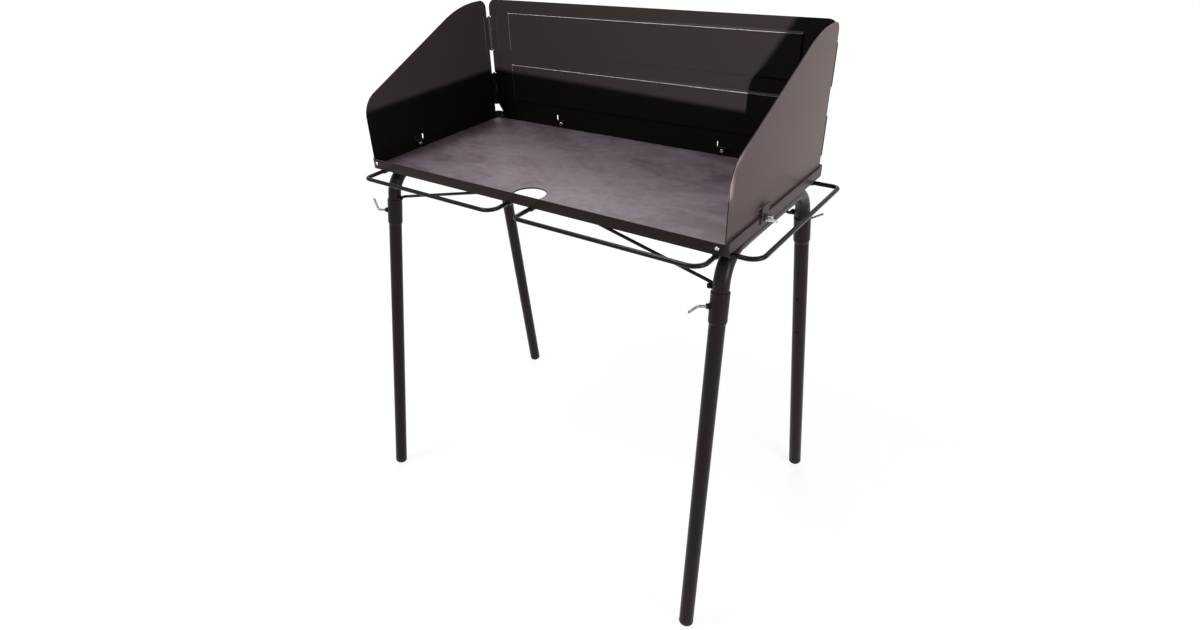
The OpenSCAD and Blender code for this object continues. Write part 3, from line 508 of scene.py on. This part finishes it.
def clampScrewShell(s):
    turn = np.radians(np.linspace(0, s["bendTurn"], s["bendRows"]))
    bend = np.stack([s["straight"] + s["bend"] * np.sin(turn), s["bend"] * (1 - np.cos(turn))], axis=1)
    ahead = np.array([np.cos(turn[-1]), np.sin(turn[-1])])
    straight = np.linspace(0, s["straight"], s["straightRows"])
    rod = np.stack([straight, np.zeros_like(straight)], axis=1)
    handle = bend[-1] + np.linspace(0, s["handle"], s["handleRows"])[:, None] * ahead
    flat = np.concatenate([rod, bend[1:], handle[1:]])
    path = np.concatenate([flat, np.zeros((len(flat), 1))], axis=1)
    at = travelled(path)
    handled = np.clip((at - at[len(rod) + len(bend) - 2]) / s["handleTaper"], 0, 1)
    radius = s["radius"] + (s["handleRadius"] - s["radius"]) * handled
    radius = radius * roundEnd((at[-1] - at) / s["handleRadius"]) * np.where(at > 0, 1, 0)
    radius = threadRadius(at, radius, s["columns"], s["threadStart"], s["threadEnd"], s["pitch"],
                          s["threadDepth"])
    return rodAlong(path, np.maximum(radius, 0), np.array([0.0, 0, 1]), s["columns"])


# bead round the foot of each clamp nut: a ring about the screw's axis, laid on the round of the socket
nutWeld = {"ring": 0.0054, "socket": 0.01603, "radius": 0.0009, "swell": 0.16, "drop": 0.0019,
           "columns": 12, "steps": 160, "turns": 0.985}


def nutWeldShell(s, below):
    turn = np.linspace(0, 2 * np.pi * s["turns"], s["steps"])
    y = s["ring"] * np.sin(turn)
    out = np.sqrt(s["socket"] ** 2 - y ** 2)
    normals = np.stack([out, y, np.zeros_like(y)], axis=1) / s["socket"]
    path = np.stack([out, y, s["ring"] * np.cos(turn) - below], axis=1)
    return weldBead(path, normals, s)


clampShell = clampScrewShell(clampScrew)
nutShell = nutWeldShell(nutWeld, clampScrew["below"])
for corner, (side, end) in legSides.items():
    heading = legMatrix(side, end) @ Matrix.Rotation(np.radians(clampScrew["heading"][corner]), 4, "Z")
    seat = Matrix.Translation((clampScrew["start"], 0, -clampScrew["below"]))
    rolled = heading @ seat @ Matrix.Rotation(np.radians(clampScrew["roll"][corner]), 4, "X")
    makePiece(corner + "ClampScrew", [placed(np.array(rolled), clampShell)], "clampFinish",
              corner + "_clamp", (corner + "_clamp_screw",))
    makePiece(corner + "NutWeld", [placed(np.array(heading), nutShell)], "tubePaint",
              corner + "_lower_leg")
print("clamp screws and nut welds:", len(legSides))

# beads on both faces of each stay lug: at each height a bead lies on the round of the splayed tube, in the
# plane of the lug's face
lugWeld = {"place": 0.1723, "face": 0.0021, "tube": 0.014, "low": -0.0612, "high": -0.0508,
           "radius": 0.0013, "swell": 0.14, "drop": 0.0026, "columns": 14, "steps": 60}


def lugWeldShells(s, matrix):
    shells = []
    high = np.linspace(s["low"], s["high"], s["steps"])
    middle = legLayout["half"] - high * np.tan(np.radians(legLayout["splay"]))
    for end in (-1, 1):
        for face in (-1, 1):
            off = s["place"] + face * s["face"] - middle
            out = -np.sqrt(s["tube"] ** 2 - off ** 2)
            path = np.stack([out, end * (middle + off), high], axis=1)
            normals = np.stack([out, end * off, np.zeros_like(out)], axis=1) / s["tube"]
            shells.append(placed(matrix, weldBead(path, normals, s)))
    return shells


for sideName, side in (("left", -1), ("right", 1)):
    makePiece(sideName + "LugWelds", lugWeldShells(lugWeld, np.array(frameMatrix(side))), "tubePaint",
              sideName + "_leg_frame")

# straight upright beads along both sides of each clip plate on the rim
clipWeld = {"half": 0.0146, "out": 0.0003, "low": 0.0034, "high": 0.0136, "radius": 0.0013, "swell": 0.14,
            "drop": 0.0027, "columns": 14, "steps": 80}


def clipWeldShells(s):
    shells = []
    for body in wingScrew["earLeans"]:
        turning = joints[body + "_turn"]
        out = unit(turning["axis"])
        side = np.cross((0, 0, 1), out)
        foot = np.array(turning["pos_m"]) * (1, 1, 0) + s["out"] * out
        up = np.linspace(s["low"], s["high"], s["steps"])[:, None] * np.array([0, 0, 1.0])
        shells += [weldBead(foot + way * s["half"] * side + up, out, s) for way in (-1, 1)]
    return shells


makePiece("clipPlateWelds", clipWeldShells(clipWeld), "rimPaint", "tray")

# rivets: one profile round its axis, with a low dome outside, the shank, and a flat set head inside whose
# rim is eased
rivet = {"x": 0.39, "y": 0.202, "z": 0.006, "head": 0.0036, "dome": 0.0012, "domeRows": 10,
         "shank": 0.002, "grip": 0.0035, "setHead": 0.003, "setDepth": 0.0003, "setSide": 0.6,
         "setFlat": 0.85, "columns": 32}


def rivetShells(s):
    lean = np.linspace(0, np.pi / 2, s["domeRows"])
    side, back = s["grip"] + s["setSide"] * s["setDepth"], s["grip"] + s["setDepth"]
    along = np.concatenate([-s["dome"] * np.cos(lean), [0, s["grip"], s["grip"], side, back, back]])
    radius = np.concatenate([s["head"] * np.sin(lean), [s["shank"], s["shank"], s["setHead"], s["setHead"],
                                                        s["setFlat"] * s["setHead"], 0]])
    turned = lathe(along, radius, s["columns"])
    up = np.array([0, 0, 1.0])
    return [placed(joinedFrame((x * s["x"], y * s["y"], s["z"]), (0, -y, 0), up), turned)
            for x in (-1, 1) for y in (-1, 1)]


makePiece("rimRivets", rivetShells(rivet), "zincFinish", "tray", ("corner_rivets",))
print("welds and rivets in place")

# camera where the photo was taken from, its middle shifted as the photo's crop has it
view = {"place": (0.81333, -1.11859, 0.49936), "azimuth": 0.685352, "elevation": 0.554375, "roll": 0.062841,
        "focal": 719.475, "middle": (554.643, 321.993), "image": (1200, 630), "sensor": 36.0,
        "nearest": 0.01}


def placeCamera(v):
    data = bpy.data.cameras.new("photoCamera")
    width, height = v["image"]
    data.sensor_width = v["sensor"]
    data.lens = v["focal"] / width * v["sensor"]
    data.shift_x = (width / 2 - v["middle"][0]) / width
    data.shift_y = (v["middle"][1] - height / 2) / width
    data.clip_start = v["nearest"]
    level = np.cos(v["elevation"])
    ahead = np.array([-np.sin(v["azimuth"]) * level, np.cos(v["azimuth"]) * level, -np.sin(v["elevation"])])
    right = unit(np.cross(ahead, (0, 0, 1)))
    down = np.cross(ahead, right)
    turn = np.array([[np.cos(v["roll"]), np.sin(v["roll"])], [-np.sin(v["roll"]), np.cos(v["roll"])]])
    right, down = turn @ np.stack([right, down])
    matrix = np.eye(4)
    matrix[:3, :3] = np.stack([right, -down, -ahead], axis=1)
    matrix[:3, 3] = v["place"]
    camera = linked("photoCamera", data)
    camera.matrix_world = Matrix(matrix.tolist())
    bpy.context.scene.camera = camera


placeCamera(view)
print("camera placed")

# pale floor, soft room light and three broad lamps (name, place, size, power)
studio = {"floor": (0.9, 0.9, 0.9, 1), "floorSize": 40.0, "floorGlow": 0.8, "white": 1.07,
          "farFrom": 1.6, "farTo": 3.4, "room": 0.34,
          "lamps": (("topLamp", (-1.0, -1.1, 2.7), 0.7, 46.0), ("backLamp", (-0.9, 1.7, 2.0), 1.6, 40.0),
                    ("sideLamp", (2.4, -0.5, 0.3), 0.9, 27.0))}


def floorSheet(s):  # level square grid at the height of the feet
    half = s["floorSize"] / 2
    across = np.linspace(-half, half, 3)
    x, y = np.meshgrid(across, across)
    points = np.stack([x, y, np.full_like(x, cadBox[0][2])], axis=-1).reshape(-1, 3)
    quads = np.array([0, 1, 3, 4])[:, None] + np.array([0, 1, 4, 3])
    mesh = bpy.data.meshes.new("floor")
    mesh.from_pydata(points.tolist(), [], quads.tolist())
    floor = linked("floor", mesh)
    material = bpy.data.materials.new("paleFloor")
    material.use_nodes = True
    graph = Graph(material.node_tree)
    sheet = graph.node("ShaderNodeBsdfDiffuse", {}, {"Color": s["floor"]})
    glow = graph.node("ShaderNodeEmission", {}, {"Color": (1, 1, 1, 1), "Strength": s["white"]})
    away = graph.vector("LENGTH", graph.coords()).rise(s["farFrom"], s["farTo"])
    bare = away * (1 - s["floorGlow"]) + s["floorGlow"]  # the near floor keeps the shadows
    graph.show(graph.node("ShaderNodeMixShader", {}, {0: graph.seenDirectly() * bare, 1: sheet, 2: glow}))
    mesh.materials.append(material)


def lightRoom(s):
    world = bpy.data.worlds.new("paleRoom")
    bpy.context.scene.world = world
    world.use_nodes = True
    graph = Graph(world.node_tree)
    strength = graph.seenDirectly() * (1 - s["room"]) + s["room"]
    graph.show(graph.node("ShaderNodeBackground", {}, {"Color": (1, 1, 1, 1), "Strength": strength}),
               "ShaderNodeOutputWorld")
    for name, at, size, power in s["lamps"]:
        data = bpy.data.lights.new(name, "AREA")
        data.size = size
        data.energy = power
        lamp = linked(name, data)
        lamp.location = at
        lamp.rotation_euler = (-Vector(at)).to_track_quat("-Z", "Y").to_euler()


# key lamp between two flaps: an edge of a flap is a plane through the lamp and two points of the back
# panel, and light passes a flap where it is clear of any one of its edges
keyLight = {"place": (0.99, -1.7, 0.046), "radius": 0.006, "power": 900.0, "soft": 0.0008,
            "flaps": ((((-0.38, 0.195, 0.116), (0.2455, 0.195, 0.0956)),),
                      (((0.2485, 0.195, 0.08), (0.2485, 0.195, 0.2)),
                       ((0.2485, 0.195, 0.1475), (0.323, 0.195, 0.267))))}


def lightKey(s):
    data = bpy.data.lights.new("keyLamp", "POINT")
    data.shadow_soft_size = s["radius"]
    data.energy = s["power"]
    data.use_nodes = True
    graph = Graph(data.node_tree)
    way = graph.coords("Normal")
    beam = 1.0
    for flap in s["flaps"]:
        first, second = np.array(flap).transpose(1, 0, 2) - s["place"]
        clear = 0.0
        for normal in unit(np.cross(second, first)):
            past = graph.vector("DOT_PRODUCT", way, normal)
            clear = past.rise(-s["soft"], s["soft"]).atLeast(clear)
        beam = clear * beam
    graph.show(graph.node("ShaderNodeEmission", {}, {"Strength": beam}), "ShaderNodeOutputLight")
    lamp = linked("keyLamp", data)
    lamp.location = s["place"]


floorSheet(studio)
lightRoom(studio)
lightKey(keyLight)
bpy.context.scene.view_settings.view_transform = "Standard"
print("studio lit")
